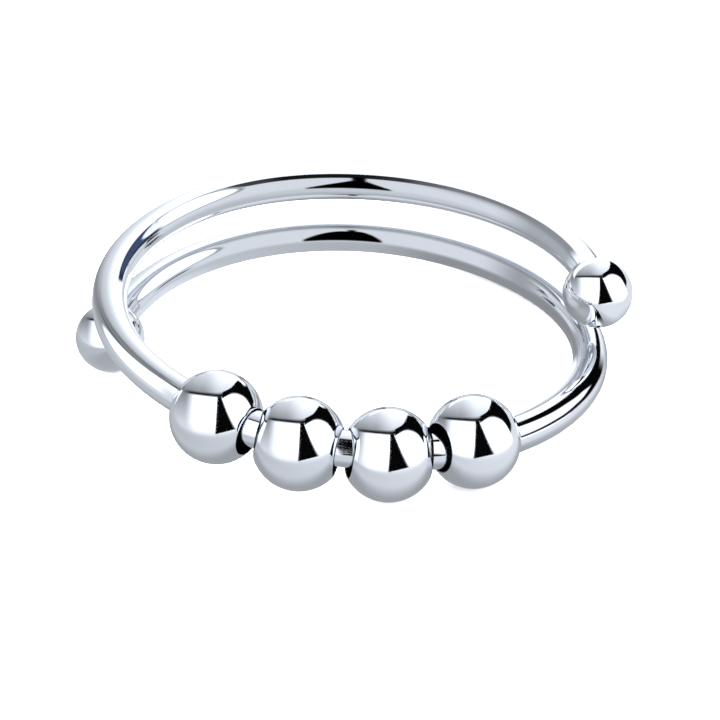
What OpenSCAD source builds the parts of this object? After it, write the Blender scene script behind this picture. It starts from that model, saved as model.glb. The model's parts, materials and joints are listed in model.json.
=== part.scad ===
// Spinner ring: an open coil of round wire that goes one and a half times round the finger,
// with a polished ball on each end and four loose beads that turn on the front of the wire.
// Millimetres, +Z up. The ring lies on its side, as it comes to rest on a table by itself.
// The origin is where the axis of the finger hole meets the table.
// The beads are at the front, towards -Y. The wire drops from left to right across the front.

/* [Wire] */
// Outside width of the coil, over the wire on both sides
ring_outer_w = 20; // [17:0.1:24]
// Diameter of the round wire
wire_d = 1.35; // [1:0.05:1.6]
// Angle that the wire is bent through in all, from one end to the other
coil_turn = 535; // [515:1:550]

/* [End balls] */
// Diameter of the ball on each end of the wire
ball_d = 2.7; // [2.3:0.05:3.2]
// Gap between each ball and the strand of wire that passes it
strand_gap = 0.475; // [0.2:0.025:2]
// Depth of the hole that is drilled in each ball for the wire
ball_hole_depth = 1.1; // [0.7:0.05:1.5]
// Least gap round the wire in that hole
ball_seat_gap = 0.02; // [0.01:0.005:0.04]

/* [Beads] */
// Diameter of each loose bead
bead_d = 3.4; // [3:0.05:4]
// Play all round the wire in the bore of a bead
bead_play = 0.2; // [0.15:0.01:0.3]
// Least gap that is left between that bore and the wire
bead_touch_gap = 0.04; // [0.02:0.01:0.06]
// Gap between neighbouring beads at the inside of the ring
bead_gap = 0.02; // [0.02:0.01:0.5]
// Width of the small chamfer at the mouth of each bore and hole
mouth_chamfer = 0.04; // [0.03:0.01:0.1]

/* [Hidden] */
$fn = 96;

// How many beads lie on the front of the wire
BEADS = 4;
// The coil is a chain of equal bends. Each is a true arc in a plane of its own.
BENDS = 5;
// The bend that passes the rear of the right side, where the wire comes down to the table
REAR_BEND = BENDS - 2;
// The wire ends a little short of each joint in the chain, inside a collar that fills the joint
// and is a hair wider than the wire, so that no two pieces of the chain share a face.
JOINT_SHORT = 0.02;
COLLAR_L = 0.2;
COLLAR_PROUD = 0.005;
// Direction of the front of the ring, where the middle of the wire is
FRONT = 270;
// Length by which a cutter runs past the face that it cuts
PAST = 1;
// Length that is left between the end of the wire and the floor of a ball's hole
FLOOR_GAP = 0.08;
// How often the table is fitted again to the lowest point of the rear strand
SETTLE_ROUNDS = 4;

wire_r = wire_d / 2;
ball_r = ball_d / 2;
bead_r = bead_d / 2;
coil_r = ring_outer_w / 2 - wire_r;
// The wire comes down by this in one full turn, so that it passes clear of the balls.
coil_drop = ball_r + wire_r + strand_gap;

// Each bend slopes down by bend_slope at its middle, and its centre stands a little off the
// axis, so that one bend runs into the next without a corner.
bend = coil_turn / BENDS;
bend_slope = asin(coil_drop * bend / 360 / (2 * coil_r * sin(bend / 2)));
bend_step = 2 * atan(tan(bend / 2) / cos(bend_slope));
bend_shift = -coil_r * cos(bend / 2) * pow(sin(bend_slope), 2);
bend_drop = 2 * coil_r * sin(bend / 2) * sin(bend_slope);
bend_arc = bend - 2 * asin(JOINT_SHORT / coil_r);

// Bores and holes are straight and the wire in them is curved, so a bead or a ball sits inwards
// by half of the height of that curve.
function inset(length) = pow(length, 2) / (16 * coil_r);

// A ball's hole starts where its wall meets the round of the ball, and runs along the wire
// where the middle of the hidden stretch is.
wire_hidden = ball_hole_depth - FLOOR_GAP;
ball_in = inset(wire_hidden);
ball_hole_r = wire_r + ball_in + ball_seat_gap;
ball_mouth = sqrt(pow(ball_r, 2) - pow(ball_hole_r, 2));
ball_turn = asin(wire_hidden / 2 / coil_r);

// A bead hangs until bead_touch_gap is left.
bore_r = wire_r + bead_play;
bead_half = sqrt(pow(bead_r, 2) - pow(bore_r, 2));
bead_in = inset(2 * bead_half);
bead_hang = sqrt(max(0, pow(bead_play - bead_touch_gap, 2) - pow(bead_in, 2)));
// The three left beads hang down from the wire, and the table pushes the last one up.
BEAD_LIFT = [-bead_hang, -bead_hang, -bead_hang, bead_hang];

// Angle between two neighbouring beads whose inner edges are a gap apart
bead_step = 2 * atan((bead_half + bead_gap / 2) / (coil_r - bead_in - bore_r));
// Place of a bead along the wire, from bead 0 on the left
function bead_turn(i) = coil_turn / 2 + (i - (BEADS - 1) / 2) * bead_step;

// Matrices that turn about X and Z and that move
function turn_x(a) = [[1, 0, 0, 0], [0, cos(a), -sin(a), 0], [0, sin(a), cos(a), 0], [0, 0, 0, 1]];
function turn_z(a) = [[cos(a), -sin(a), 0, 0], [sin(a), cos(a), 0, 0], [0, 0, 1, 0], [0, 0, 0, 1]];
function move(v) = [[1, 0, 0, v.x], [0, 1, 0, v.y], [0, 0, 1, v.z], [0, 0, 0, 1]];

// Frame of bend i: its arc lies about the origin of the frame, half on each side of X
function bend_frame(i) =
    let (steps = i + 0.5 - BENDS / 2)
    move([0, 0, -steps * bend_drop]) * turn_z(FRONT + steps * bend_step)
    * move([bend_shift, 0, 0]) * turn_x(-bend_slope);

// Frame on the wire after a bend of turn degrees: X outwards, Y along the wire, Z up
function wire_frame(turn) =
    let (i = min(max(floor(turn / bend), 0), BENDS - 1))
    bend_frame(i) * turn_z(turn - (i + 0.5) * bend) * move([coil_r, 0, 0]);

// The axes X, Y and Z of a frame are its columns 0, 1 and 2, and its origin is column 3
function column_of(frame, column) = [for (row = [0:2]) frame[row][column]];

// Frames of the loose and the fixed round pieces: each is centred on its own frame, and Y
// is the axis of its bore
function bead_frame(i) = wire_frame(bead_turn(i)) * move([-bead_in, 0, BEAD_LIFT[i]]);
ball_shift = ball_mouth - wire_hidden / 2;
right_frame = wire_frame(ball_turn) * move([-ball_in, -ball_shift, 0]);
left_frame = wire_frame(coil_turn - ball_turn) * move([-ball_in, ball_shift, 0]) * turn_z(180);

// The ring rests on three round things: the left ball, the last bead and the rear strand.
// The table is the plane that touches all three from below.
left_centre = column_of(left_frame, 3);
last_centre = column_of(bead_frame(BEADS - 1), 3);

// Direction of up for a table that touches the rear strand after turn degrees of the wire
function table_up(turn) =
    let (
        side_a = column_of(wire_frame(turn), 3) - left_centre,
        side_b = last_centre - left_centre,
        step_a = wire_r - ball_r,
        step_b = bead_r - ball_r,
        gram = (side_a * side_a) * (side_b * side_b) - pow(side_a * side_b, 2),
        share_a = (step_a * (side_b * side_b) - step_b * (side_a * side_b)) / gram,
        share_b = (step_b * (side_a * side_a) - step_a * (side_a * side_b)) / gram,
        in_plane = share_a * side_a + share_b * side_b,
        across = cross(side_b, side_a)
    )
    in_plane + across / norm(across) * sqrt(1 - in_plane * in_plane);

// Where the rear strand is lowest over that table
function lowest_turn(up) =
    let (frame = bend_frame(REAR_BEND))
    (REAR_BEND + 0.5) * bend + atan2(-up * column_of(frame, 1), -up * column_of(frame, 0));
function settled_turn(turn, rounds) =
    rounds <= 0 ? turn : settled_turn(lowest_turn(table_up(turn)), rounds - 1);

// Turns the table level, and puts the foot of the coil's axis at the origin
up = table_up(settled_turn((REAR_BEND + 0.5) * bend, SETTLE_ROUNDS));
table_h = up * left_centre - ball_r;
lay_flat =
    let (s = 1 / (1 + up.z))
    [
        [1 - s * up.x * up.x, -s * up.x * up.y, -up.x, up.x * table_h / up.z],
        [-s * up.x * up.y, 1 - s * up.y * up.y, -up.y, up.y * table_h / up.z],
        [up.x, up.y, up.z, -table_h],
        [0, 0, 0, 1]
    ];

// Cuts a round hole along Y from its floor, with a chamfer where it comes out at mouth_y
module drilled(hole_r, floor_y, mouth_y) {
    translate([0, floor_y, 0])
        rotate([-90, 0, 0])
            cylinder(r = hole_r, h = mouth_y - floor_y + PAST);
    translate([0, mouth_y - mouth_chamfer, 0])
        rotate([-90, 0, 0])
            cylinder(r1 = hole_r, r2 = hole_r + 3 * mouth_chamfer, h = 3 * mouth_chamfer);
}

module wire_bend(i) {
    multmatrix(lay_flat * bend_frame(i) * turn_z(-bend_arc / 2))
        rotate_extrude(angle = bend_arc)
            translate([coil_r, 0])
                circle(r = wire_r);
}

module wire_band() {
    color("silver") {
        for (i = [0:BENDS - 1]) wire_bend(i);
        for (i = [1:BENDS - 1])
            multmatrix(lay_flat * wire_frame(i * bend))
                rotate([90, 0, 0])
                    cylinder(r = wire_r + COLLAR_PROUD, h = COLLAR_L, center = true);
    }
}

// A polished ball with a blind hole that comes out towards +Y
module end_ball() {
    color("gainsboro")
        difference() {
            sphere(r = ball_r);
            drilled(ball_hole_r, ball_mouth - ball_hole_depth, ball_mouth);
        }
}

module right_ball() {
    multmatrix(lay_flat * right_frame) end_ball();
}

module left_ball() {
    multmatrix(lay_flat * left_frame) end_ball();
}

// A loose round bead with a bore right through it
module bead(i) {
    color("lightgray")
        multmatrix(lay_flat * bead_frame(i))
            difference() {
                sphere(r = bead_r);
                drilled(bore_r, -bead_half - PAST, bead_half);
                rotate([0, 0, 180]) drilled(bore_r, -bead_half - PAST, bead_half);
            }
}

module bead_1() { bead(0); }
module bead_2() { bead(1); }
module bead_3() { bead(2); }
module bead_4() { bead(3); }

wire_band();
right_ball();
left_ball();
bead_1();
bead_2();
bead_3();
bead_4();
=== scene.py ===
# %% [markdown]
# Spinner ring, a lesson in small polished metal.
# The ring is a silver wire that goes one and a half times round the finger. A ball closes each
# end, and four loose beads turn on the front of the wire. The part is already modelled and packed
# as a fixed frame, at its real size and in metres. This lesson dresses that frame: it gives each
# piece a finer mesh, a finish that looks polished by hand, and a small studio to mirror.
# The frame never moves. Every piece is built where the frame says that it is.

# %% Load the frame
import json
from math import asin, atan, atan2, cos, degrees, pi, radians, sin, sqrt, tan, tau

import bmesh
import bpy
from mathutils import Matrix, Vector


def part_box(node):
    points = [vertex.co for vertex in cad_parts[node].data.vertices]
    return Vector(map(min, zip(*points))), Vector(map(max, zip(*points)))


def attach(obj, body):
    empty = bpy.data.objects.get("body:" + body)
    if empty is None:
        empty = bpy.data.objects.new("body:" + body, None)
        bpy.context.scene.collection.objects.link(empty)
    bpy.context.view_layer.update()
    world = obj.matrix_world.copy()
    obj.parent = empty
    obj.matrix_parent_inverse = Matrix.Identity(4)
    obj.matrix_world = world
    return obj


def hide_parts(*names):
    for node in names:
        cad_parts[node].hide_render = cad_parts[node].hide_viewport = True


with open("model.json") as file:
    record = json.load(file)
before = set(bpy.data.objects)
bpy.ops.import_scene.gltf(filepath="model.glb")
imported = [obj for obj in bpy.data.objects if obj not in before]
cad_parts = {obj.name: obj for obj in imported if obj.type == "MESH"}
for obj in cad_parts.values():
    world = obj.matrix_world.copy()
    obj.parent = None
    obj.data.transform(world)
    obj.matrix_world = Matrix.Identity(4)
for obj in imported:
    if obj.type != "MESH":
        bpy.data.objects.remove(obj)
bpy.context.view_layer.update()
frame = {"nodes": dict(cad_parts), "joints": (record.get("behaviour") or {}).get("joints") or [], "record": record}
MM = 0.001

# %% [markdown]
# The wire of the real ring is bent round a mandrel. The part draws it as a chain of five true
# arcs, each in a plane of its own, so that one arc runs into the next without a corner. The same
# few sizes give the same line here, and a line is what a sweep needs. The balls and beads follow
# from the frame: a bead's centre and bore lie on the axis of its joint.

# %% Sizes of the wire and of the end balls
RING_OUTER_W = 20 * MM
WIRE_R = 1.35 / 2 * MM
COIL_TURN = radians(535)
BENDS = 5
FRONT = radians(270)
BALL_R = 2.7 / 2 * MM
STRAND_GAP = 0.475 * MM
BALL_HOLE_DEPTH = 1.1 * MM
BALL_FLOOR_GAP = 0.08 * MM
BALL_SEAT_GAP = 0.02 * MM
# The line is followed in steps of half a degree
WIRE_STEPS = 1070

coil_r = RING_OUTER_W / 2 - WIRE_R
coil_drop = BALL_R + WIRE_R + STRAND_GAP
bend = COIL_TURN / BENDS
bend_slope = asin(coil_drop * bend / tau / (2 * coil_r * sin(bend / 2)))
bend_step = 2 * atan(tan(bend / 2) / cos(bend_slope))
bend_shift = -coil_r * cos(bend / 2) * sin(bend_slope) ** 2
bend_drop = 2 * coil_r * sin(bend / 2) * sin(bend_slope)
print("middle line of the coil:", round(coil_r / MM, 3), "mm from its axis")


# %% [markdown]
# A place along the wire is given by its turn: the angle that the wire has been bent through from
# its upper end to there. Each place gets a frame of its own, a small set of axes that says which
# way is outwards, along and up, so that a ring of points or a ball can be set down there.

# %% Frames along the wire
def slid(x, y=0.0, z=0.0):
    """Matrix that moves by x, y and z."""
    return Matrix.Translation((x, y, z))


def turned(angle, axis="Z"):
    """Matrix that turns about an axis through the origin."""
    return Matrix.Rotation(angle, 4, axis)


def bend_frame(i):
    """Frame of bend i, whose arc lies about the frame's origin, half on each side of X."""
    steps = i + 0.5 - BENDS / 2
    level = slid(0, 0, -steps * bend_drop) @ turned(FRONT + steps * bend_step)
    return level @ slid(bend_shift) @ turned(-bend_slope, "X")


def wire_frame(turn):
    """Frame on the middle line after a bend of turn: X outwards, Y along the wire, Z up."""
    i = min(max(int(turn / bend), 0), BENDS - 1)
    return bend_frame(i) @ turned(turn - (i + 0.5) * bend) @ slid(coil_r)


wire_drop = (wire_frame(0).translation.z - wire_frame(COIL_TURN).translation.z) / MM
print("the wire comes down by", round(wire_drop, 2), "mm in all")

# %% [markdown]
# The coil leans a little as it lies on the table. The frame records the axis of the finger hole,
# and the top of the wire's node fixes the height, so the sweep needs no numbers of its own for
# its place.

# %% Lay the coil where the frame has it
hole_axis = Vector(frame["record"]["mounts"][0]["axis"])
lean = Vector((0, 0, 1)).rotation_difference(hole_axis).to_matrix().to_4x4()
coil_turns = [COIL_TURN * step / WIRE_STEPS for step in range(WIRE_STEPS + 1)]


def top_of(matrix):
    """Height of the highest point of the round wire about a frame."""
    return matrix.translation.z + WIRE_R * sqrt(matrix[2][0] ** 2 + matrix[2][2] ** 2)


wire_top = max(top_of(lean @ wire_frame(turn)) for turn in coil_turns)
gap_to_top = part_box("wire_band")[1].z - wire_top
lay_flat = slid(*(hole_axis * gap_to_top / hole_axis.z)) @ lean
print("the coil's middle lies", round(gap_to_top / MM, 3), "mm over the table")


# %% [markdown]
# The photograph looks down on the ring from the front, from about 30 degrees above the table and
# almost straight on. The camera stands close, so the rear of the coil is drawn a little smaller
# than the front. The numbers came from fitting the edges of the wire and the round beads.

# %% Camera at the photograph's angle
PHOTO_SIDE = 720
FOCAL_PX = 2334
CAMERA_RISE = radians(30.01)
CAMERA_TURN = radians(-2.12)
CAMERA_ROLL = radians(-1.33)
CAMERA_D = 91.06 * MM
CAMERA_AIM = Vector((0.508, 0, 0.419)) * MM
# Blender wants the film's width in millimetres and the end of sight in metres
FILM_W = 36
SIGHT_END = 10

looking = Vector((
    sin(CAMERA_TURN) * cos(CAMERA_RISE),
    cos(CAMERA_TURN) * cos(CAMERA_RISE),
    -sin(CAMERA_RISE),
))
level_right = Vector((cos(CAMERA_TURN), -sin(CAMERA_TURN), 0))
level_up = level_right.cross(looking)
view_right = cos(CAMERA_ROLL) * level_right + sin(CAMERA_ROLL) * level_up
view_up = cos(CAMERA_ROLL) * level_up - sin(CAMERA_ROLL) * level_right

camera = bpy.data.objects.new("camera", bpy.data.cameras.new("camera"))
bpy.context.scene.collection.objects.link(camera)
axes = Matrix((view_right, view_up, -looking)).transposed().to_4x4()
camera_place = CAMERA_AIM - looking * CAMERA_D
camera.matrix_world = slid(*camera_place) @ axes
camera.data.sensor_width = FILM_W
camera.data.lens = FOCAL_PX / PHOTO_SIDE * FILM_W
camera.data.clip_start = MM
camera.data.clip_end = SIGHT_END
bpy.context.scene.camera = camera
print("camera at", [round(number / MM, 1) for number in camera_place], "mm, lens", round(camera.data.lens, 1))


# %% [markdown]
# Everything in this scene is a skin over rows of points: a wire is a row of rings, a bead is an
# outline turned round its bore, and a studio card is a patch between two edges. So one helper
# makes every mesh. It joins neighbouring rows with four-sided faces, closes them where asked,
# melts points that coincide, such as those at the pole of a ball, and turns the faces outwards.
# Three small helpers for angles and soft changes go with it.

# %% One helper that skins rows of points
MELT_GAP = 0.0001 * MM


def skin(name, rows, round_closed=False, rows_closed=False, notes=None):
    """Object whose faces join rows of points. notes holds a number for each point, by name."""
    mesh = bpy.data.meshes.new(name)
    columns = len(rows[0])
    wide = columns if round_closed else columns - 1
    high = len(rows) if rows_closed else len(rows) - 1
    faces = [
        (
            row * columns + column,
            row * columns + (column + 1) % columns,
            (row + 1) % len(rows) * columns + (column + 1) % columns,
            (row + 1) % len(rows) * columns + column,
        )
        for row in range(high)
        for column in range(wide)
    ]
    mesh.from_pydata([point for row in rows for point in row], [], faces)
    for note_name, numbers in (notes or {}).items():
        layer = mesh.attributes.new(note_name, "FLOAT", "POINT")
        layer.data.foreach_set("value", [number for row in numbers for number in row])
    tidy = bmesh.new()
    tidy.from_mesh(mesh)
    bmesh.ops.remove_doubles(tidy, verts=tidy.verts, dist=MELT_GAP)
    bmesh.ops.recalc_face_normals(tidy, faces=tidy.faces)
    tidy.to_mesh(mesh)
    tidy.free()
    mesh.polygons.foreach_set("use_smooth", [True] * len(mesh.polygons))
    made = bpy.data.objects.new(name, mesh)
    bpy.context.scene.collection.objects.link(made)
    return made


def around(count):
    """Angles that go once round in equal steps."""
    return [tau * step / count for step in range(count)]


def soft_step(low, high, value):
    """Rises smoothly from 0 at low to 1 at high."""
    share = min(max((value - low) / (high - low), 0), 1)
    return share * share * (3 - 2 * share)


def blend(first, last, share):
    """Value between first and last."""
    return first + (last - first) * share


print("points closer than", round(MELT_GAP / MM, 4), "mm are melted into one")


# %% [markdown]
# A material is a small network of nodes. Two classes keep the network readable. Finish adds any
# node by its type, its settings and its inputs. Amount wraps the number that comes out of a node,
# and Python's own operators on it add the Math nodes, so that shader maths reads as maths.

# %% Two classes for writing materials
class Amount:
    """A number that varies over a surface. Python's operators on it add Math nodes."""

    def __init__(self, finish, socket):
        self.finish = finish
        self.socket = socket

    def maths(self, operation, *values):
        return self.finish.node("Math", {"operation": operation}, dict(enumerate(values)))

    def __add__(self, other):
        return self.maths("ADD", self, other)

    def __radd__(self, other):
        return self.maths("ADD", other, self)

    def __sub__(self, other):
        return self.maths("SUBTRACT", self, other)

    def __rsub__(self, other):
        return self.maths("SUBTRACT", other, self)

    def __mul__(self, other):
        return self.maths("MULTIPLY", self, other)

    def __rmul__(self, other):
        return self.maths("MULTIPLY", other, self)

    def __abs__(self):
        return self.maths("ABSOLUTE", self)


class Finish:
    """A material in the making."""

    def __init__(self, name):
        self.material = bpy.data.materials.new(name)
        self.material.use_nodes = True
        self.tree = self.material.node_tree
        self.tree.nodes.clear()

    def node(self, kind, settings=None, inputs=None, output=0):
        """Adds a node: its settings first, then the values or links of its sockets."""
        made = self.tree.nodes.new("ShaderNode" + kind)
        for setting, value in (settings or {}).items():
            setattr(made, setting, value)
        for socket, value in (inputs or {}).items():
            if isinstance(value, Amount):
                self.tree.links.new(value.socket, made.inputs[socket])
            else:
                made.inputs[socket].default_value = value
        return Amount(self, made.outputs[output]) if made.outputs else None

    def shown(self, shader):
        """Ends the network with this shader and returns the material."""
        self.node("OutputMaterial", inputs={"Surface": shader})
        return self.material


def note(finish, name):
    """Number that the mesh holds for each of its points."""
    return finish.node("Attribute", {"attribute_name": name}, output="Fac")


print("classes for materials:", Amount.__name__, "and", Finish.__name__)


# %% [markdown]
# Polished metal has no look of its own: it shows the room round it. The photograph's room can be
# read on a bead, because a ball mirrors almost every direction at once. Two white panels stand in
# front with a black gap between them, a black arm reaches over the right one, and a thin black
# line parts them from a grey ceiling. This helper turns a place on the picture of a bead, in bead
# radii with x to the right and y down, into the direction that is mirrored there.

# %% Read the room on a bead
def mirrored(x, y):
    """Direction that a bead mirrors to the camera at x, y of its picture."""
    z = sqrt(max(0.0, 1 - x * x - y * y))
    return 2 * z * x * view_right - 2 * z * y * view_up - (2 * z * z - 1) * looking


def through(points, steps):
    """Smooth line through a few points, with the same number of steps in each stretch."""
    line = []
    last = len(points) - 1
    for i in range(last):
        before, here = Vector(points[max(i - 1, 0)]), Vector(points[i])
        there, after = Vector(points[i + 1]), Vector(points[min(i + 2, last)])
        # Only the last stretch adds its end, because the others end where the next one starts.
        ends = 1 if i == last - 1 else 0
        for step in range(steps + ends):
            t = step / steps
            line.append(
                0.5 * (2 * here + (there - before) * t
                       + (2 * before - 5 * here + 4 * there - after) * t ** 2
                       + (3 * here - before - 3 * there + after) * t ** 3)
            )
    return line


print("a bead's middle mirrors", [round(number, 2) for number in mirrored(0, 0)])


# %% [markdown]
# The cards glow by themselves and only mirrors see them: the camera and the floor don't. Each is
# a patch of a big ball round the ring, between two edges that are given as bead places. Every
# point of a card has a shade, which says how bright it glows, and a cover. Where the cover falls
# from 1 to 0 the card turns clear, so a white panel can have the soft border of a real soft box.

# %% Cards that only mirrors see
ROOM_R = 300 * MM
CARD_STEPS = 24
# A border that starts here is over at the edge, so an edge with a softness of 0 stays sharp
OUTSIDE_EDGE = -0.01


def only_mirrored(thing):
    """Hides a thing from all rays but mirror rays."""
    thing.visible_camera = False
    thing.visible_diffuse = False
    thing.visible_transmission = False
    thing.visible_volume_scatter = False
    thing.visible_shadow = False
    return thing


def card_paint(name, colour):
    """Paint that glows as its card's shade note says, and is clear where the cover note is 0."""
    finish = Finish(name)
    shade = note(finish, "shade")
    cover = note(finish, "cover")
    tinted = finish.node("VectorMath", {"operation": "SCALE"}, {0: colour, "Scale": shade})
    light = finish.node("Emission", inputs={"Color": tinted, "Strength": 1.0})
    clear = finish.node("BsdfTransparent")
    return finish.shown(finish.node("MixShader", inputs={0: cover, 1: clear, 2: light}))


COOL = (0.955, 1.0, 1.055)
cool_paint = card_paint("cool_light", COOL)


def hang(name, rows, shades, covers, paint=cool_paint, **how):
    """Card through rows of points, with a shade and a cover for each point."""
    made = skin(name, rows, notes={"shade": shades, "cover": covers}, **how)
    made.data.materials.append(paint)
    print("card", name, "with", len(made.data.polygons), "faces")
    return only_mirrored(made)


def full_cover(x, y):
    """Cover of a card that is clear nowhere."""
    return 1.0


def card(name, edge_a, edge_b, shade, reach, soft=(0, 0), cover=full_cover):
    """Patch of one shade between two edges in bead places, at reach times the room's radius.

    soft is the share of the patch, at its first and its last edge, over which it turns clear.
    cover gives the card's own cover at a bead place.
    """
    side_a, side_b = through(edge_a, CARD_STEPS), through(edge_b, CARD_STEPS)
    shares = [row / CARD_STEPS for row in range(CARD_STEPS + 1)]
    places = [[a.lerp(b, share) for a, b in zip(side_a, side_b)] for share in shares]
    rows = [[mirrored(*place) * ROOM_R * reach for place in row] for row in places]
    covers = []
    for share, row in zip(shares, places):
        border = soft_step(OUTSIDE_EDGE, soft[0], share) * soft_step(OUTSIDE_EDGE, soft[1], 1 - share)
        covers.append([border * cover(*place) for place in row])
    return hang(name, rows, [[shade] * len(row) for row in rows], covers)


print("the big cards hang", round(ROOM_R, 2), "m from the ring")

# %% [markdown]
# Now the room is hung up as it shows on a bead. The two white panels give the metal its bright
# body. The black cards hang a little nearer, so that they lie over the panels: a wedge in the gap
# between the two, a thin line along their top that starts soft on the left, and an arm that
# swings from the end of that line over the right panel and down its side.

# %% The white panels, the black gap between them and the black arm over them
WHITE_PANEL = 1.6
BLACK_FLAG = 0.002
BLACK_REACH = 0.96

card(
    "left_panel",
    [(-0.80, -0.47), (-0.4, -0.47), (0.06, -0.45)],
    [(-0.72, 0.44), (-0.4, 0.44), (0.0, 0.44)],
    WHITE_PANEL, 1.0,
    cover=lambda x, y: soft_step(-0.64, -0.36, x) * (1 - soft_step(0.15, 0.45, y + 0.35 * x * x)),
)
card(
    "right_panel",
    [(0.08, -0.40), (0.28, -0.50), (0.60, -0.46), (0.80, -0.02)],
    [(0.05, 0.40), (0.42, 0.34), (0.68, 0.22), (0.81, 0.02)],
    WHITE_PANEL, 1.0,
    cover=lambda x, y: 1 - soft_step(0.12, 0.42, y + 0.1 * x),
)
card(
    "gap_flag",
    [(0.03, -0.42), (0.01, 0.0), (-0.02, 0.345)],
    [(0.11, -0.42), (0.27, -0.05), (0.425, 0.245)],
    BLACK_FLAG, BLACK_REACH, soft=(0.04, 0.12),
)
card(
    "line_flag",
    [(-0.78, -0.56), (-0.4, -0.525), (0.0, -0.51), (0.17, -0.56)],
    [(-0.78, -0.47), (-0.4, -0.42), (0.0, -0.38), (0.14, -0.36)],
    BLACK_FLAG, BLACK_REACH, soft=(0.5, 0.4),
    cover=lambda x, y: soft_step(-0.76, -0.50, x),
)
card(
    "arm_flag",
    [(0.13, -0.52), (0.30, -0.62), (0.39, -0.75), (0.47, -0.86), (0.55, -0.79), (0.70, -0.55),
     (0.80, -0.28), (0.83, -0.12)],
    [(0.13, -0.37), (0.19, -0.41), (0.25, -0.44), (0.34, -0.465), (0.465, -0.455), (0.60, -0.385),
     (0.72, -0.20), (0.79, 0.01)],
    BLACK_FLAG, BLACK_REACH, soft=(0.04, 0.12),
    cover=lambda x, y: soft_step(0.03, 0.10, mirrored(x, y).z),
)

# %% [markdown]
# Behind the cards is a big dome. Its shade is written in bead places too: dark just above the black
# line, paler towards the rear horizon, which a bead shows along its upper rim, and palest on the
# right. Below the line the dome shows at the far left and right, and through the soft lower
# borders of the white panels.

# %% Dome
DOME_R = ROOM_R * 1.5
DOME_AROUND = 144
DOME_LIFTS = 96
LINE_Y = -0.47
RIGHT_WALL = 0.85


def bead_place(direction):
    """Place on a bead's picture where a direction is mirrored. It undoes mirrored."""
    half = (direction - looking).normalized()
    return half.dot(view_right), -half.dot(view_up)


def dome_shade(direction):
    """How bright the dome is in a direction."""
    x, y = bead_place(direction)
    over_line = LINE_Y - y
    # The ceiling grows paler with the way from the line, and much paler to the right.
    ceiling = 0.30 + 1.4 * over_line - 0.08 * soft_step(0.3, 0.6, -x)
    ceiling += 0.50 * soft_step(-0.30, 0.16, x)
    # The left wall grows paler from the line down.
    left_wall = min(max(0.34 + 0.9 * (y + 0.4), 0.30), 0.80)
    wall = blend(left_wall, RIGHT_WALL, soft_step(-0.2, 0.2, x))
    return blend(wall, ceiling, soft_step(0.0, 0.05, over_line))


dome_lifts = [pi * (step / DOME_LIFTS - 0.5) for step in range(DOME_LIFTS + 1)]
dome_directions = [
    [Vector((cos(a) * cos(lift), sin(a) * cos(lift), sin(lift))) for a in around(DOME_AROUND)]
    for lift in dome_lifts
]
hang(
    "dome",
    [[way * DOME_R for way in row] for row in dome_directions],
    [[dome_shade(way) for way in row] for row in dome_directions],
    [[1.0] * DOME_AROUND for _ in dome_lifts],
    round_closed=True,
)

# %% [markdown]
# The rear strands mirror more than the beads do. Their upper side is white, so a white roof hangs
# over and behind them, too far back for the beads and for the balls to show it. It is a flat sheet
# with a straight front edge.

# %% Roof behind the ring
ROOF_H = 10 * MM
ROOF_FRONT, ROOF_DEPTH = 8.6 * MM, 30 * MM
ROOF_SHADE = 1.25
ROOF_SIDE = 3 * MM
ROOF_ROWS = 24
ROOF_COLUMNS = 40


def roof_left(y):
    """Left edge of the roof at a depth y."""
    return -6 * MM - 0.25 * y


def roof_right(y):
    """Right edge of the roof at a depth y."""
    return 5.5 * MM + 0.45 * y


def roof_cover(x, y):
    """1 on the roof, with a soft border at its left and its right edge."""
    from_left = soft_step(roof_left(y), roof_left(y) + ROOF_SIDE, x)
    from_right = soft_step(-roof_right(y), ROOF_SIDE - roof_right(y), -x)
    return from_left * from_right


roof_lines = [ROOF_FRONT + ROOF_DEPTH * (step / ROOF_ROWS) ** 2 for step in range(ROOF_ROWS + 1)]
roof_shares = [step / ROOF_COLUMNS for step in range(ROOF_COLUMNS + 1)]
roof_rows = [
    [(blend(roof_left(y), roof_right(y), share), y, ROOF_H) for share in roof_shares]
    for y in roof_lines
]
hang(
    "rear_roof",
    roof_rows,
    [[ROOF_SHADE] * len(row) for row in roof_rows],
    [[roof_cover(x, y) for x, y, _ in row] for row in roof_rows],
)

# %% [markdown]
# What a thin round wire mirrors is drawn out along it, so a small card close to a strand does what a
# big one can't. Such a card is laid out in the wire's own degrees: turn is the way along the wire
# from its upper end, and angle the way round it, with 0 towards the middle of the ring and 90 on top.
# The helper follows the photo camera's view of each place on the wire to what is mirrored there,
# and puts the card on that line, between 0.35 and 1.3 mm away. So a paint function can say what
# the strand shows in the photograph. The card stays there when the ring is seen from elsewhere.

# %% Cards close to a strand
def band(low, high, soft, value):
    """1 between low and high, with soft borders."""
    return soft_step(low - soft, low + soft, value) * (1 - soft_step(high - soft, high + soft, value))


def between_stops(stops, place):
    """Value at a place in a list of places and values, with soft changes between them."""
    if place <= stops[0][0]:
        return stops[0][1]
    for (here, value), (there, next_value) in zip(stops, stops[1:]):
        if place <= there:
            return blend(value, next_value, soft_step(here, there, place))
    return stops[-1][1]


def strand_view(turn, angle):
    """Point of the wire at a turn and an angle in degrees, and the direction that it mirrors."""
    place = lay_flat @ wire_frame(radians(turn))
    along = place.to_3x3().col[1]
    up = (Vector((0, 0, 1)) - along.z * along).normalized()
    normal = cos(radians(angle)) * up.cross(along) + sin(radians(angle)) * up
    point = place.translation + WIRE_R * normal
    seen = (point - camera_place).normalized()
    return point, seen - 2 * seen.dot(normal) * normal


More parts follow.
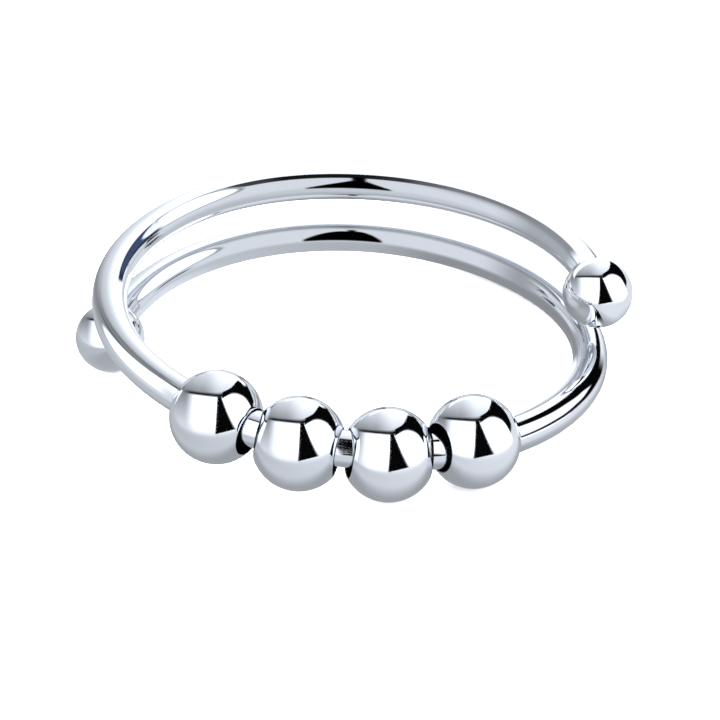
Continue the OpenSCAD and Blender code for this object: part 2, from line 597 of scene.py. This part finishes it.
def strand_card(name, turns, angles, reach, paint_at, paint=cool_paint):
    """Card beside a strand, over a range of turns and of angles.

    reach lists its distance in mm at one or more turns. paint_at gives its shade and its cover.
    """
    turn_list = [turns[0] + step / 2 for step in range(2 * (turns[1] - turns[0]) + 1)]
    rows, shades, covers = [], [], []
    for angle in range(angles[0], angles[1] + 1):
        row = []
        for turn in turn_list:
            point, way = strand_view(turn, angle)
            row.append(point + way * (between_stops(reach, turn) * MM))
        painted = [paint_at(turn, angle) for turn in turn_list]
        rows.append(row)
        shades.append([shade for shade, _ in painted])
        covers.append([cover for _, cover in painted])
    return hang(name, rows, shades, covers, paint=paint)


def funnel(turn, angle, mouth, stem, narrowing, hollow):
    """1 inside a funnel. It is as wide as its mouth at first and narrows to its stem."""
    share = min(max((angle - narrowing[0]) / (narrowing[1] - narrowing[0]), 0), 1)
    low = blend(stem[0], mouth[0], (1 - share) ** hollow)
    high = blend(stem[1], mouth[1], (1 - share) ** hollow)
    return band(low, high, 0.6, turn) * band(7.5, 47, 1.5, angle)


def ellipse(turn, angle, middle, half):
    """0 in the middle of an ellipse, 1 on its edge and more outside."""
    return ((turn - middle[0]) / half[0]) ** 2 + ((angle - middle[1]) / half[1]) ** 2


rear_way = strand_view(90, 45)[1]
print("the rear of the upper strand mirrors", [round(number, 2) for number in rear_way])

# %% [markdown]
# The rear strands show a grey pane with a black funnel in it, and a dark line above the pane where
# the white roof starts. On the left the pane gives way to a white ellipse with a thin outline. The
# upper strand's line is black in the middle and soft on the right, and the lower strand's is grey.

# %% Cards for the two rear strands
GLARE_WHITE = 1.3
GLARE_OUTLINE = 0.36


def glare_over(shade, edge):
    """Shade with a white ellipse and its thin grey outline laid over it."""
    outlined = blend(shade, GLARE_OUTLINE, band(1.0, 1.25, 0.12, edge))
    return blend(outlined, GLARE_WHITE, 1 - soft_step(0.9, 1.05, edge))


UPPER_LINE = [
    (25, 0.32), (45, 0.24), (60, 0.22), (70, 0.13), (77, 0.04), (86, 0.008), (108, 0.008), (115, 0.05),
    (122, 0.06), (129, 0.36),
]
LOWER_LINE = [(395, 0.32), (430, 0.42), (444, 0.36), (450, 0.24), (458, 0.34), (480, 0.44)]
UPPER_FUNNEL = {"mouth": (79, 102.5), "stem": (86, 90), "narrowing": (12, 36), "hollow": 1.25}
LOWER_FUNNEL = {"mouth": (440, 462), "stem": (447.3, 449.7), "narrowing": (15, 42), "hollow": 0.5}
UPPER_GLARE = {"middle": (139.5, 40.5), "half": (17.5, 18)}
LOWER_GLARE = {"middle": (504.5, 39.5), "half": (17, 18)}


def upper_rear_paint(turn, angle):
    """Pane, line, funnel and glare of the upper strand. The line softens to the right."""
    right = 1 - soft_step(52, 78, turn)
    pane = blend(0.46, 0.80, soft_step(32, 50, turn)) * blend(0.84, 1.0, soft_step(2, 16, angle))
    pane *= 1 - 0.28 * right * soft_step(30, 44, angle)
    line_low = blend(blend(42.5, 56, soft_step(118, 127, turn)), 40, right)
    line_high = line_low + blend(3, 12, right)
    shade = blend(pane, between_stops(UPPER_LINE, turn), soft_step(line_low, line_high, angle))
    shade *= 1 - funnel(turn, angle, **UPPER_FUNNEL)
    shade = glare_over(shade, ellipse(turn, angle, **UPPER_GLARE))
    low = blend(0, -18, soft_step(24, 50, turn))
    return shade, soft_step(low, 8, angle) * soft_step(11, 17, turn) * (1 - soft_step(148, 154, turn))


def lower_rear_paint(turn, angle):
    """The same for the lower strand, with a thin dark streak below its glare."""
    pane = blend(0.40, 0.80, soft_step(396, 412, turn)) * blend(0.86, 1.0, soft_step(2, 14, angle))
    line_low = blend(46, 56, soft_step(484, 490, turn))
    shade = blend(pane, between_stops(LOWER_LINE, turn), soft_step(line_low, 58, angle))
    shade *= 1 - funnel(turn, angle, **LOWER_FUNNEL)
    shade *= 1 - 0.9 * band(12, 16.5, 1.5, angle) * band(498, 512, 3, turn)
    shade = glare_over(shade, ellipse(turn, angle, **LOWER_GLARE))
    return shade, soft_step(-4, 12, angle) * (1 - soft_step(59, 65, angle)) * soft_step(382, 396, turn)


strand_card("upper_rear_card", (11, 155), (-18, 60), [(11, 0.35), (45, 1.3)], upper_rear_paint)
strand_card("lower_rear_card", (382, 522), (-4, 65), [(382, 1.0)], lower_rear_paint)

# %% [markdown]
# The sides show more: a blue-black dart inside the left strand, a soft shadow and a white glare
# along the front of that strand, and on the right strand a white inner side and two black bands
# that close round the tip of a second glare.

# %% Cards for the two sides
NAVY = (0.72, 1.0, 2.0)
navy_paint = card_paint("navy_light", NAVY)

DART_START, DART_END = 152, 181
DART_GLARE = {"middle": (139.5, 43), "half": (19, 15)}
FRONT_GLARE = {"middle": (230, 141), "half": (33, 20)}
FRONT_SHADOW = 0.12
INNER_WHITE = 1.15
RIGHT_INNER_HIGH = [(306, 72), (325, 66), (340, 58), (350, 44)]
RIGHT_GLARE_LOW = [(306, 125), (322, 127), (330, 131), (336, 138)]
RIGHT_GLARE_HIGH = [(306, 154), (320, 150), (328, 146), (336, 139)]
RIGHT_BAND_END = [(306, 160), (320, 158), (330, 155), (340, 152), (350, 146)]


def left_dart_paint(turn, angle):
    """A dark dart that points along the wire, round the left tip of the upper glare."""
    low = blend(27, 42, (turn - DART_START) / (DART_END - DART_START))
    inside = band(low, 58, 1.5, angle) * band(DART_START, DART_END, 1.0, turn)
    heart = band(low + 4, 54, 2, angle) * band(DART_START + 5, DART_END - 4, 2, turn)
    glare = 1 - soft_step(0.95, 1.15, ellipse(turn, angle, **DART_GLARE))
    return blend(0.035, 0.085, heart) + 0.6 * glare, inside * (1 - 0.9 * glare)


def left_front_paint(turn, angle):
    """A soft shadow with a white glare below it, which both end before the first bead."""
    middle = blend(122, 114, soft_step(190, 212, turn))
    shadow = 0.70 * soft_step(178, 206, turn) * (1 - soft_step(0, 9, abs(angle - middle)))
    glare = 1 - soft_step(0.8, 1.1, ellipse(turn, angle, **FRONT_GLARE))
    ending = 1 - soft_step(223, 229, turn)
    return blend(FRONT_SHADOW, GLARE_WHITE, glare), max(shadow, glare) * ending


def right_inner_paint(turn, angle):
    """The white inner side. It fades out before the right ball could show it."""
    high = between_stops(RIGHT_INNER_HIGH, turn)
    below = 1 - soft_step(high - 3, high + 3, angle)
    return INNER_WHITE, below * (1 - soft_step(344, 352, turn))


def right_front_paint(turn, angle):
    """A white glare that narrows to a tip, with a black band on both sides of it."""
    low = between_stops(RIGHT_GLARE_LOW, turn)
    high = between_stops(RIGHT_GLARE_HIGH, turn)
    glare = band(low, high, 1.5, angle) * (1 - soft_step(334, 336, turn))
    bands = band(114, between_stops(RIGHT_BAND_END, turn), 1.5, angle)
    return blend(BLACK_FLAG, GLARE_WHITE, glare), bands * (1 - soft_step(343, 352, turn))


strand_card("left_dart", (150, 183), (22, 62), [(150, 1.2)], left_dart_paint, paint=navy_paint)
strand_card("left_front", (178, 230), (98, 164), [(178, 0.7)], left_front_paint)
strand_card("right_inner", (306, 352), (20, 76), [(306, 0.5)], right_inner_paint)
strand_card("right_front", (306, 352), (111, 163), [(306, 0.5)], right_front_paint)

# %% [markdown]
# The camera sees a plain white floor instead, lit from all sides by a white tent, so the ring has
# only a faint shadow where it touches. Mirror rays pass through the tent and this floor. The floor
# gets a hint of grain, so that it isn't one flat white.

# %% Light tent and floor
TENT_R = 1.0
TENT_LIGHT = 5.0
TENT_AROUND = 64
TENT_LIFTS = 24
FLOOR_RINGS = 12
FLOOR_WHITES = [(0.93, 0.93, 0.94, 1), (0.95, 0.95, 0.95, 1)]
tent_finish = Finish("tent_white")
tent_light = tent_finish.node("Emission", inputs={"Color": (1, 1, 1, 1), "Strength": TENT_LIGHT})
tent_lifts = [pi / 2 * step / TENT_LIFTS for step in range(TENT_LIFTS + 1)]
tent = skin(
    "tent",
    [
        [
            (TENT_R * cos(a) * cos(lift), TENT_R * sin(a) * cos(lift), TENT_R * sin(lift))
            for a in around(TENT_AROUND)
        ]
        for lift in tent_lifts
    ],
    round_closed=True,
)
tent.data.materials.append(tent_finish.shown(tent_light))
tent.visible_glossy = False
tent.visible_shadow = False

floor_finish = Finish("floor_card")
floor_place = floor_finish.node("TexCoord", output="Object")
floor_grain = floor_finish.node("TexNoise", inputs={"Vector": floor_place, "Scale": 400, "Detail": 4})
floor_white = floor_finish.node(
    "Mix", {"data_type": "RGBA"}, {0: floor_grain, 6: FLOOR_WHITES[0], 7: FLOOR_WHITES[1]}, output=2
)
floor_matt = floor_finish.node("BsdfPrincipled", inputs={"Base Color": floor_white, "Roughness": 0.7})
floor_radii = [TENT_R * (step / FLOOR_RINGS) ** 2 for step in range(FLOOR_RINGS + 1)]
floor = skin(
    "floor",
    [[(radius * cos(a), radius * sin(a), 0) for a in around(TENT_AROUND)] for radius in floor_radii],
    round_closed=True,
)
floor.data.materials.append(floor_finish.shown(floor_matt))
floor.visible_glossy = False

# The tent, the floor and the dome hide the world on every side, so its grey lights nothing.
world = bpy.data.worlds.new("studio")
bpy.context.scene.world = world
world.use_nodes = True
world.node_tree.nodes["Background"].inputs["Color"].default_value = (0.68, 0.72, 0.77, 1)
bpy.context.scene.view_settings.view_transform = "Standard"
print("the floor is", round(2 * TENT_R, 2), "m across, under a tent of the same width")

# %% [markdown]
# What mirror rays meet in place of the floor is a small table top with a painted shade: dark close
# to the ring, paler inside the coil and out on the table, and clear towards its edge, where the
# dome takes over. It gives the lower half of the beads and the inside of the wire their greys.

# %% Table top that only mirrors see
TABLE_R = 27 * MM
TABLE_RINGS = 72
TABLE_AROUND = 120
# Radii in mm between which the table turns clear, and the shade of its middle
TABLE_FADE = (13.5, 26.5)
TABLE_MIDDLE = 0.66
# Shade of the table inside the coil, at an angle in degrees from its right
TABLE_RING_STOPS = [
    (0, 0.36), (25, 0.30), (65, 0.32), (90, 0.50), (120, 0.60), (142, 0.85), (165, 0.80), (190, 0.45),
    (230, 0.40), (300, 0.38), (340, 0.50), (360, 0.36),
]


def table_shade(x, y):
    """How bright the mirrored table is at a place."""
    radius = sqrt(x * x + y * y) / MM
    near_ring = between_stops(TABLE_RING_STOPS, degrees(atan2(y, x)) % 360)
    inside = blend(near_ring, TABLE_MIDDLE, 1 - soft_step(2.5, 5.5, radius))
    outside = 0.72 + 0.16 * min(max(x / (12 * MM), -1), 1)
    outside = blend(outside, 0.45, soft_step(-2 * MM, 4 * MM, y) * (1 - soft_step(12, 16, radius)))
    return blend(inside, outside, soft_step(10.2, 12.4, radius))


table_radii = [TABLE_R * step / TABLE_RINGS for step in range(TABLE_RINGS + 1)]
table_rows = [
    [(radius * cos(a), radius * sin(a), 0.0) for a in around(TABLE_AROUND)]
    for radius in table_radii
]
hang(
    "table_top",
    table_rows,
    [[table_shade(x, y) for x, y, _ in row] for row in table_rows],
    [[1 - soft_step(*TABLE_FADE, radius / MM)] * TABLE_AROUND for radius in table_radii],
    round_closed=True,
)

# %% [markdown]
# The finish is polished silver with a cool, bright look. Up close such metal is never perfect: the
# polishing wheel leaves hairlines, fingers leave faint films, and the inside of a bore stays dull
# because no wheel reaches it. The inside of a bore is also painted nearly black, a painted shade for
# the dark bore. One function makes the finish from those marks, and each kind of piece gets its own
# hairlines: draw marks along the wire, and on the beads and the balls the crossing lines of the wheel.

# %% The polished finish
SILVER = (0.865, 0.885, 0.925, 1)
WORN_SILVER = (0.80, 0.82, 0.86, 1)
# Nearly black metal: a painted shade for the dark inside of the bores
BORE_SHADE_SILVER = (0.06, 0.06, 0.065, 1)
MM_PER_M = 1000


def hairlines(finish, place, stretch, turn, width):
    """Mask of fine lines: a stretched noise, narrowed to where it crosses its middle value."""
    laid = finish.node("Mapping", inputs={"Vector": place, "Rotation": turn, "Scale": stretch})
    noise = finish.node("TexNoise", inputs={"Vector": laid, "Scale": 1.0, "Detail": 2.0})
    return finish.node(
        "MapRange", {"interpolation_type": "SMOOTHSTEP"},
        {"Value": abs(noise - 0.5), "From Min": 0.0, "From Max": width, "To Min": 1.0, "To Max": 0.0},
    )


def object_place(finish):
    """Place on the object, in millimetres."""
    metres = finish.node("TexCoord", output="Object")
    return finish.node("VectorMath", {"operation": "SCALE"}, {0: metres, "Scale": MM_PER_M})


def polished(name, make_lines, film_scale, wave_height):
    """Polished silver. make_lines gives the mask of its hairlines on a finish and a place."""
    finish = Finish(name)
    place = object_place(finish)
    lines = make_lines(finish, place)
    film = finish.node("TexNoise", inputs={"Vector": place, "Scale": film_scale, "Detail": 5.0})
    unpolished_and_shaded = note(finish, "unpolished_and_shaded")
    worn = finish.node("Mix", {"data_type": "RGBA"}, {0: 0.35 * film, 6: SILVER, 7: WORN_SILVER}, output=2)
    # Inside the bores the colour turns nearly black, a painted shade; the roughness there is the real unpolished
    # finish
    colour = finish.node("Mix", {"data_type": "RGBA"}, {0: unpolished_and_shaded, 6: worn, 7: BORE_SHADE_SILVER}, output=2)
    roughness = 0.015 + 0.02 * film + 0.02 * lines + 0.3 * unpolished_and_shaded
    wave = finish.node("TexNoise", inputs={"Vector": place, "Scale": 1.3, "Detail": 1.0})
    height = wave - wave_height * lines
    bump = finish.node("Bump", inputs={"Strength": 0.35, "Distance": 0.001 * MM, "Height": height})
    shader = finish.node(
        "BsdfPrincipled",
        inputs={"Base Color": colour, "Metallic": 1.0, "Roughness": roughness, "Normal": bump},
    )
    return finish.shown(shader)


def wire_lines(finish, place):
    """Draw marks: lines along the wire, from the mesh's own length and round notes."""
    along = note(finish, "along")
    across = note(finish, "across")
    spread = finish.node("CombineXYZ", inputs={"X": 0.12 * along, "Y": 22.0 * across, "Z": 0.0})
    return hairlines(finish, spread, (1, 1, 1), (0, 0, 0), 0.012)


def wheel_lines(finish, place):
    """Hairlines of the polishing wheel, in two crossing directions."""
    one = hairlines(finish, place, (0.5, 14, 14), (0.3, 0.5, 0.9), 0.008)
    other = hairlines(finish, place, (13, 0.6, 13), (1.1, 0.2, 2.2), 0.006)
    return 0.6 * one + 0.6 * other


wire_finish = polished("wire_silver", wire_lines, 0.9, 0.5)
bead_finish = polished("bead_silver", wheel_lines, 1.1, 0.4)
ball_finish = polished("end_ball_silver", wheel_lines, 1.4, 0.4)
print("finishes:", wire_finish.name, bead_finish.name, ball_finish.name)

# %% [markdown]
# The wire. On the bench it is one length of round silver wire, so here it is one sweep: a ring of
# 48 points at every half degree of bend, and a small round at each end, where the wire stops
# inside its ball. The rings carry two notes, the length along the wire and the way round it, for
# the draw marks.

# %% Sweep the wire
ROUND_POINTS = 48
END_ROUND = 0.12 * MM
END_STEPS = 6


def wire_ring(matrix, radius):
    """Points of one ring of the wire, round the Y axis of a frame."""
    return [matrix @ Vector((radius * cos(a), 0, radius * sin(a))) for a in around(ROUND_POINTS)]


def end_rings(turn, way):
    """Frames and radii of the rings that round off an end, from the full wire to its middle."""
    rings = []
    for step in range(1, END_STEPS + 1):
        a = pi / 2 * step / END_STEPS
        back = way * END_ROUND * sin(a)
        radius = WIRE_R - END_ROUND * (1 - cos(a))
        rings.append((lay_flat @ wire_frame(turn) @ slid(0, back), radius))
    rings.append((rings[-1][0], 0.0))
    return rings


end_angle = END_ROUND / coil_r
open_turn = COIL_TURN - 2 * end_angle
open_turns = [end_angle + open_turn * step / WIRE_STEPS for step in range(WIRE_STEPS + 1)]
stretch = [(lay_flat @ wire_frame(turn), WIRE_R) for turn in open_turns]
upper_end = end_rings(open_turns[0], -1)[::-1]
lower_end = end_rings(open_turns[-1], 1)
wire_rings = upper_end + stretch + lower_end
wire_lengths = [0.0] * len(upper_end) + [turn * coil_r / MM for turn in open_turns]
wire_lengths += [wire_lengths[-1]] * len(lower_end)
wire = skin(
    "wire",
    [wire_ring(matrix, radius) for matrix, radius in wire_rings],
    round_closed=True,
    notes={
        "along": [[length] * ROUND_POINTS for length in wire_lengths],
        "across": [[sin(a) for a in around(ROUND_POINTS)] for _ in wire_rings],
        "unpolished_and_shaded": [[0.0] * ROUND_POINTS for _ in wire_rings],
    },
)
wire.data.materials.append(wire_finish)
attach(wire, "band")
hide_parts("wire_band")
print("wire:", len(wire.data.vertices), "points,", round(COIL_TURN * coil_r / MM, 1), "mm long")

# %% [markdown]
# A bead and an end ball are turned pieces: an outline that goes round an axis. The outline holds
# what shows close up: the round of the ball, a small rounded lip where the drill came out, and
# the wall of the bore. The lip matters most, because it draws the thin bright line round each
# bore in the photograph. The outline is a list of places: the distance from the axis, the place
# along it, and a 1 where no polishing wheel reaches. The same 1 also marks where the bore is
# painted nearly black, a painted shade.

# %% Outlines of a bead and of an end ball
LIP_R = 0.025 * MM
LIP_STEPS = 8
ROUND_STEPS = 80
WALL_STEPS = 8
BALL_ROUND_STEPS = 90
BALL_WALL_STEPS = 6
TURNED_POINTS = 144


def lip_centre(ball_r, hole_r):
    """Centre of the lip's round, which touches the ball from inside and the wall of the hole."""
    out = hole_r + LIP_R
    return out, sqrt((ball_r - LIP_R) ** 2 - out ** 2)


def lip_outline(ball_r, hole_r):
    """Round of the lip, from the ball's surface to the wall of the hole."""
    out, up = lip_centre(ball_r, hole_r)
    first = atan2(up, out)
    angles = [first + (pi - first) * step / LIP_STEPS for step in range(LIP_STEPS + 1)]
    return [(out + LIP_R * cos(a), up + LIP_R * sin(a), 0.0) for a in angles]


def ball_outline(ball_r, from_angle, to_angle, steps):
    """Round of the ball between two angles from the plane across its axis."""
    angles = [from_angle + (to_angle - from_angle) * step / steps for step in range(steps + 1)]
    return [(ball_r * cos(a), ball_r * sin(a), 0.0) for a in angles]


def bead_outline(bead_r, bore_r):
    """Closed outline of a bead: round, lip, bore, lip."""
    out, up = lip_centre(bead_r, bore_r)
    edge = atan2(up, out)
    top_lip = lip_outline(bead_r, bore_r)
    bottom_lip = [(x, -y, mark) for x, y, mark in top_lip[::-1]]
    wall = [(bore_r, (up - LIP_R) * (1 - step / WALL_STEPS), 1.0) for step in range(2 * WALL_STEPS + 1)]
    return ball_outline(bead_r, -edge, edge, ROUND_STEPS)[:-1] + top_lip + wall + bottom_lip[:-1]


def end_ball_outline(ball_r, hole_r, floor_at):
    """Outline of an end ball from its far pole to the middle of the hole's floor."""
    out, up = lip_centre(ball_r, hole_r)
    edge = atan2(up, out)
    start = up - LIP_R
    wall = [
        (hole_r, start + (floor_at - start) * step / BALL_WALL_STEPS, 1.0)
        for step in range(BALL_WALL_STEPS + 1)
    ]
    ball_round = ball_outline(ball_r, -pi / 2, edge, BALL_ROUND_STEPS)[:-1]
    return ball_round + lip_outline(ball_r, hole_r) + wall + [(0, floor_at, 1.0)]


def turned_piece(name, outline, place, closed):
    """Turns an outline round the Y axis of a frame."""
    rows = [
        [place @ Vector((out * cos(a), along, out * sin(a))) for a in around(TURNED_POINTS)]
        for out, along, _ in outline
    ]
    # The 1 of an outline also marks where the bore gets its painted shade
    unpolished_and_shaded = [[mark] * TURNED_POINTS for _, _, mark in outline]
    return skin(name, rows, round_closed=True, rows_closed=closed, notes={"unpolished_and_shaded": unpolished_and_shaded})


print("the lip round each bore has a radius of", round(LIP_R / MM, 3), "mm")


# %% [markdown]
# The four beads. Each joint in the frame says where its bead is and which way its bore points.
# The bead's own size is measured on the frame's node: the point farthest from the joint's centre
# gives the radius, and the point nearest to its axis gives the bore.

# %% Turn the beads
def frame_about(centre, axis):
    """Frame at a centre whose Y is along an axis."""
    return slid(*centre) @ Vector((0, 1, 0)).rotation_difference(axis).to_matrix().to_4x4()


def measured(node, centre, axis):
    """Radius of a drilled ball and of its bore, from its node's points."""
    points = [vertex.co - centre for vertex in frame["nodes"][node].data.vertices]
    return max(p.length for p in points), min((p - axis * p.dot(axis)).length for p in points)


for joint in frame["joints"]:
    bead_name = joint["child"]
    centre, axis = Vector(joint["pos_m"]), Vector(joint["axis"]).normalized()
    bead_r, bore_r = measured(bead_name, centre, axis)
    outline = bead_outline(bead_r, bore_r)
    bead = turned_piece(bead_name + "_polished", outline, frame_about(centre, axis), closed=True)
    bead.data.materials.append(bead_finish)
    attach(bead, bead_name)
    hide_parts(bead_name)
    print(bead.name, "radius", round(bead_r / MM, 4), "bore", round(bore_r / MM, 4), "mm")

# %% [markdown]
# The end balls. The wire curves into each ball, so the ball's hole follows the straight line
# between the two ends of the hidden stretch, and the ball sits a hair inwards of the wire.

# %% Turn the end balls
wire_hidden = BALL_HOLE_DEPTH - BALL_FLOOR_GAP
ball_in = wire_hidden ** 2 / (16 * coil_r)
ball_hole_r = WIRE_R + ball_in + BALL_SEAT_GAP
ball_mouth = sqrt(BALL_R ** 2 - ball_hole_r ** 2)
ball_turn = asin(wire_hidden / 2 / coil_r)
ball_shift = ball_mouth - wire_hidden / 2
ball_places = {
    "right_ball": lay_flat @ wire_frame(ball_turn) @ slid(-ball_in, -ball_shift),
    "left_ball": lay_flat @ wire_frame(COIL_TURN - ball_turn) @ slid(-ball_in, ball_shift) @ turned(pi),
}
for ball_name, place in ball_places.items():
    outline = end_ball_outline(BALL_R, ball_hole_r, ball_mouth - BALL_HOLE_DEPTH)
    ball = turned_piece(ball_name + "_polished", outline, place, closed=False)
    ball.data.materials.append(ball_finish)
    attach(ball, "band")
    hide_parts(ball_name)
    print(ball.name, "centre", [round(number / MM, 3) for number in place.translation])
